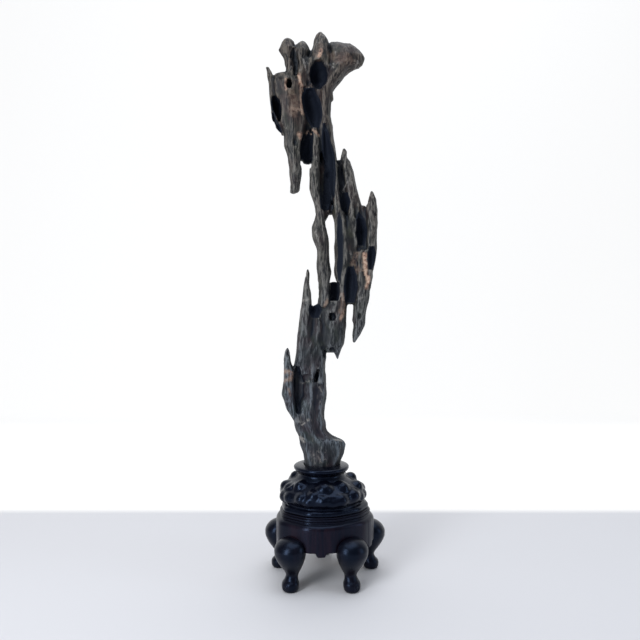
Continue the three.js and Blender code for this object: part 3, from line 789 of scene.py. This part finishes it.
def apronProfile():  # radius and height, from the hollow's roof round the outside to the spigot's seat
    outer, bottom, top = apronRadius, apronBottom, apronTop
    hollow, roof = apronLook["hollow"], apronLook["roof"]
    profile = [(hollow - 4, roof), *arc(hollow - 3, roof - 3, 3, 90, 0), (hollow, bottom + 10),
               (hollow, bottom + 1), (hollow + 1, bottom), (hollow + 7, bottom), (outer - 6.8, bottom),
               (outer - 6.6, bottom), (outer - 4, bottom), *arc(outer - 1.5, bottom + 1.3, 1.3, -90, 0)]
    for height in np.linspace(2, 21, 12):  # the face swells very slightly
        profile.append((outer - 0.2 + 0.2 * math.sin(math.pi * (height - 2) / 20), bottom + height))
    # the round moulding, two beads and the top
    profile += [*arc(outer - 5.6, top - 12.2, 5.4, 0, 80, 12), (outer - 4.7, top - 6.6),
                (outer - 5.4, top - 6.3), *arc(outer - 5.2, top - 5.3, 0.9, -90, 90, 7),
                (outer - 5.6, top - 4.2), *arc(outer - 5.5, top - 2.9, 1.2, -90, 90, 9),
                (outer - 6.2, top - 1.6), *arc(outer - 6.6, top - 0.8, 0.8, -80, 90, 6),
                (outer - 9, top), (outer - 20, top), (spigotRadius + clearance, top),
                (spigotRadius + clearance, top - spigotLength - clearance)]
    return profile


def makeApron():
    bottom, top = apronBottom, apronTop
    profile = apronProfile()
    outerFace = apronRadius - 6.7                      # what lies farther out can hang and swell
    middles, outward, distances = apronFaces()
    columns = apronLook["columns"]
    edge, tip = apronLook["pendantWidth"]
    stripHalf, stripRise = apronLook["strip"]
    points = []
    for column in range(columns):
        angle = 2 * math.pi * column / columns
        way = np.array([math.cos(angle), math.sin(angle)])
        reach = apronRadius / planRadius(*(apronRadius * way), apronLook["rounding"])
        face = int(np.argmax((outward @ way) / distances))
        fromMiddle = 99.0
        if face % 2:  # the faces between the legs
            away = apronRadius * reach * way - middles[face]
            fromMiddle = abs(outward[face][0] * away[1] - outward[face][1] * away[0])
        hang = pendantDrop * (1 - eased(tip, edge, fromMiddle))
        strip = stripRise * (1 - eased(0.35 * stripHalf, stripHalf, fromMiddle))
        for radius, height in profile:
            spread = radius * reach
            drop = 0
            if radius > outerFace:
                drop = hang * (1 - eased(bottom + 2, bottom + 7, height))
                spread += strip * eased(bottom - 1, bottom + 1, height) * eased(top - 7, top - 12, height)
            points.append((spread * way[0], spread * way[1], height - drop))
    rows = len(profile)
    count = columns * rows
    quads = []
    for c in range(columns):
        here, beside = c * rows, (c + 1) % columns * rows
        quads += [[here + r, beside + r, beside + r + 1, here + r + 1] for r in range(rows - 1)]
    points += [(0, 0, apronLook["roof"]), (0, 0, top - spigotLength - clearance)]
    roofRing = [c * rows for c in range(columns)][::-1]
    seatRing = [c * rows + rows - 1 for c in range(columns)]
    caps = []
    for which, ring in enumerate((roofRing, seatRing)):
        caps += [[count + which, a, b] for a, b in zip(ring, ring[1:] + ring[:1])]
    wood = woodMaterial("red wood", *apronLook["wood"], darkAbove=(top - apronLook["darkEdge"]) * mm)
    makePiece("panelled_apron", np.array(points), quads + caps, wood, "red_wood", "stand_apron")
    print("apron:", len(quads), "faces")


legLook = {
    "columns": 128,
    "perStep": 14,
    # height, middle's distance out from the apron's face, half depth, half width
    "sections": [(0, 2.2, 6.4, 6.6), (1, 2.2, 7.6, 7.9), (3.5, 2.4, 8.6, 8.9), (8.5, 2, 8.7, 9.1),
                 (12, 0.8, 7, 7.4), (16, -0.4, 6.2, 6.7), (20, -0.2, 7.4, 8.5), (24, 0.6, 9.6, 11),
                 (31, 2.2, 12.8, 14.8), (37, 2.9, 14.8, 16.9), (41.5, 3, 15.2, 17.3), (43, 3, 15.2, 17.3)],
    "knee": 12,           # how far the crown of the knee rises above the last section
    "scroll": (3.6, 0.55, 0.5),     # radius, half width and depth of the line carved on the toe
    "scrollHeight": 6.2,
    "wood": ((0.0012, 0.0016, 0.0040), (0.0038, 0.0026, 0.0050), (0.012, 0.0078, 0.0098), 0.31),
}


def legRings():  # level sections, each with whether it is cut flat against the apron's face
    rows = smoothRun(legLook["sections"], legLook["perStep"])
    lastHeight, middle, depth, width = rows[-1]
    rise = legLook["knee"]
    for a in np.linspace(0, math.pi / 2, 26)[1:-1]:
        shrink = math.cos(a) ** 0.9
        crown = [lastHeight + rise * math.sin(a), middle - 2 * math.sin(a), depth * shrink, width * shrink]
        rows = np.vstack([rows, crown])
    under, against = apronBottom - clearance, apronBottom
    shelf, start = (np.array([np.interp(level, rows[:, 0], rows[:, c]) for c in range(4)])
                    for level in (under, against))
    rings = [(row, False) for row in rows[rows[:, 0] < under - 0.2]] + [(shelf, False), (start, True)]
    rings += [(row, True) for row in rows[rows[:, 0] > against + 0.2]]
    return rings, lastHeight + rise


def carveScroll(points):  # a spiral line cut into the front of the toe
    size, halfLine, cut = legLook["scroll"]
    flat = points[:, [1, 2]] - [0, legLook["scrollHeight"]]
    turn = np.arctan2(flat[:, 1], flat[:, 0])
    radius = np.hypot(flat[:, 0], flat[:, 1])
    line = np.full(len(points), 9.0)
    for lap in (-1, 0, 1):
        turned = (turn + 2 * math.pi * lap) / (2 * math.pi)
        near = np.minimum(line, np.abs(radius - size * (0.75 - 0.55 * turned)))
        line = np.where((turned > -0.5) & (turned < 0.8), near, line)
    onToe = (points[:, 0] > 3) & (points[:, 2] < 14) & (points[:, 2] > 0.8)
    points[:, 0] -= cut * np.exp(-(line / halfLine) ** 2) * onToe


def makeLegs():
    columns = legLook["columns"]
    around = 2 * math.pi * np.arange(columns) / columns
    rings, crown = legRings()
    points = []
    for (height, middle, depth, width), flattened in rings:
        x = middle + depth * np.cos(around)
        if flattened:
            x = np.maximum(x, clearance)
        points.append(np.stack([x, width * np.sin(around), np.full(columns, height)], 1))
    points = np.vstack([*points, [2, 0, 0], [clearance + 0.6, 0, crown]])
    carveScroll(points)

    faces = []
    for r in range(len(rings) - 1):
        low, high = r * columns, (r + 1) * columns
        for c in range(columns):
            beside = (c + 1) % columns
            faces.append([low + c, low + beside, high + beside, high + c])
    last = (len(rings) - 1) * columns
    sole = len(rings) * columns
    faces += [[sole, (c + 1) % columns, c] for c in range(columns)]
    faces += [[sole + 1, last + c, last + (c + 1) % columns] for c in range(columns)]
    wood = woodMaterial("leg wood", *legLook["wood"])
    middles, outward, _ = apronFaces()
    for name, middle, way in zip(legNames, middles[::2], outward[::2]):
        turned = points @ np.array([[way[0], way[1], 0], [-way[1], way[0], 0], [0, 0, 1]]) + [*middle, 0]
        makePiece("cabriole_" + name, turned, faces, wood, "dark_wood", name)
    print("legs:", len(faces), "faces each")


# Table, wall, light and camera

stageLook = {
    "halfSize": 2.5,      # of the table, in metres
    "wallDistance": 0.95,    # leaves room for a camera behind the stand
    "wallHeight": 2.2,
    "sweep": 0.03,
    "tableEdge": 0.2,        # where the table's tone gives way to the wall's
    "table": (0.62, 0.61, 0.625),
    "wall": (0.12, 0.12, 0.12),
    "wallGlow": (0.84, 0.84, 0.84),
}


def makeStage():
    half, far, bend = (stageLook[n] for n in ("halfSize", "wallDistance", "sweep"))
    middle = standAxis * mm
    run = [(-half, 0), (far - bend, 0)]
    for a in np.linspace(0.2, math.pi / 2, 8):
        run.append((far - bend + bend * math.sin(a), bend - bend * math.cos(a)))
    run.append((far, stageLook["wallHeight"]))
    points = [(middle[0] + side, middle[1] + y, z) for y, z in run for side in (-half, half)]
    mesh = bpy.data.meshes.new("backdrop")
    mesh.from_pydata(points, [], [(2 * i, 2 * i + 1, 2 * i + 3, 2 * i + 2) for i in range(len(run) - 1)])
    mesh.shade_smooth()
    material, start, shader = newMaterial("backdrop", roughness=0.6, emission_strength=1)
    place = start.node("TexCoord", {}, {}, "Object")
    depth = place.node("SeparateXYZ", {}, {0: place}, "Y")
    edge = middle[1] + stageLook["tableEdge"]
    wall = depth.rise(edge, edge + bend)
    feed(shader, base_color=wall.colour(stageLook["table"], stageLook["wall"]),
         emission_color=wall.colour((0.0, 0.0, 0.0), stageLook["wallGlow"]))
    mesh.materials.append(material)
    backdrop = bpy.data.objects.new("backdrop", mesh)
    bpy.context.scene.collection.objects.link(backdrop)
    print("table and wall")


lightLook = {
    # each lamp's place, what it is aimed at, width and height, power and colour
    "lamps": {
        "window": ((-0.86, -1.1, 0.66), (0, 0, 0.22), (0.42, 1.3), 18, (0.92, 0.96, 1.0)),
        "ceiling": ((0.1, -0.1, 1.9), (0, 0, 0), (1.9, 1.6), 25, (0.90, 0.94, 1.0)),
        "right window": ((1.3, -0.35, 0.45), (0, 0, 0.2), (0.22, 0.8), 2.4, (0.72, 0.86, 1.0)),
    },
    "room": (0.86, 0.92, 1.0),
    "roomStrength": 0.25,
}


def makeLights():
    for name, (place, aim, size, power, colour) in lightLook["lamps"].items():
        lamp = bpy.data.lights.new(name, "AREA")
        lamp.shape = "RECTANGLE"
        lamp.size, lamp.size_y = size
        lamp.energy = power
        lamp.color = colour
        light = bpy.data.objects.new(name, lamp)
        light.location = place
        light.rotation_euler = (Vector(aim) - Vector(place)).to_track_quat("-Z", "Y").to_euler()
        bpy.context.scene.collection.objects.link(light)
    world = bpy.data.worlds.new("room")
    world.use_nodes = True
    room = world.node_tree.nodes["Background"].inputs
    room["Color"].default_value = (*lightLook["room"], 1)
    room["Strength"].default_value = lightLook["roomStrength"]
    bpy.context.scene.world = world
    print("lights:", len(lightLook["lamps"]))


cameraLook = {
    "lens": 33.75,
    "sensor": 36,
    "place": (-5.5, -672, 282.5),    # from the stand's axis, in millimetres
}


def makeCamera():
    lens = bpy.data.cameras.new("camera")
    lens.lens = cameraLook["lens"]
    lens.sensor_width = cameraLook["sensor"]
    camera = bpy.data.objects.new("camera", lens)
    camera.location = (standAxis + cameraLook["place"]) * mm
    camera.rotation_euler = (math.pi / 2, 0, 0)
    bpy.context.scene.collection.objects.link(camera)
    bpy.context.scene.camera = camera
    print("camera")


makeCamera()
makeStage()
makeLights()
makeRock()
makeTop()
makeApron()
makeLegs()
bpy.context.scene.view_settings.view_transform = "Standard"
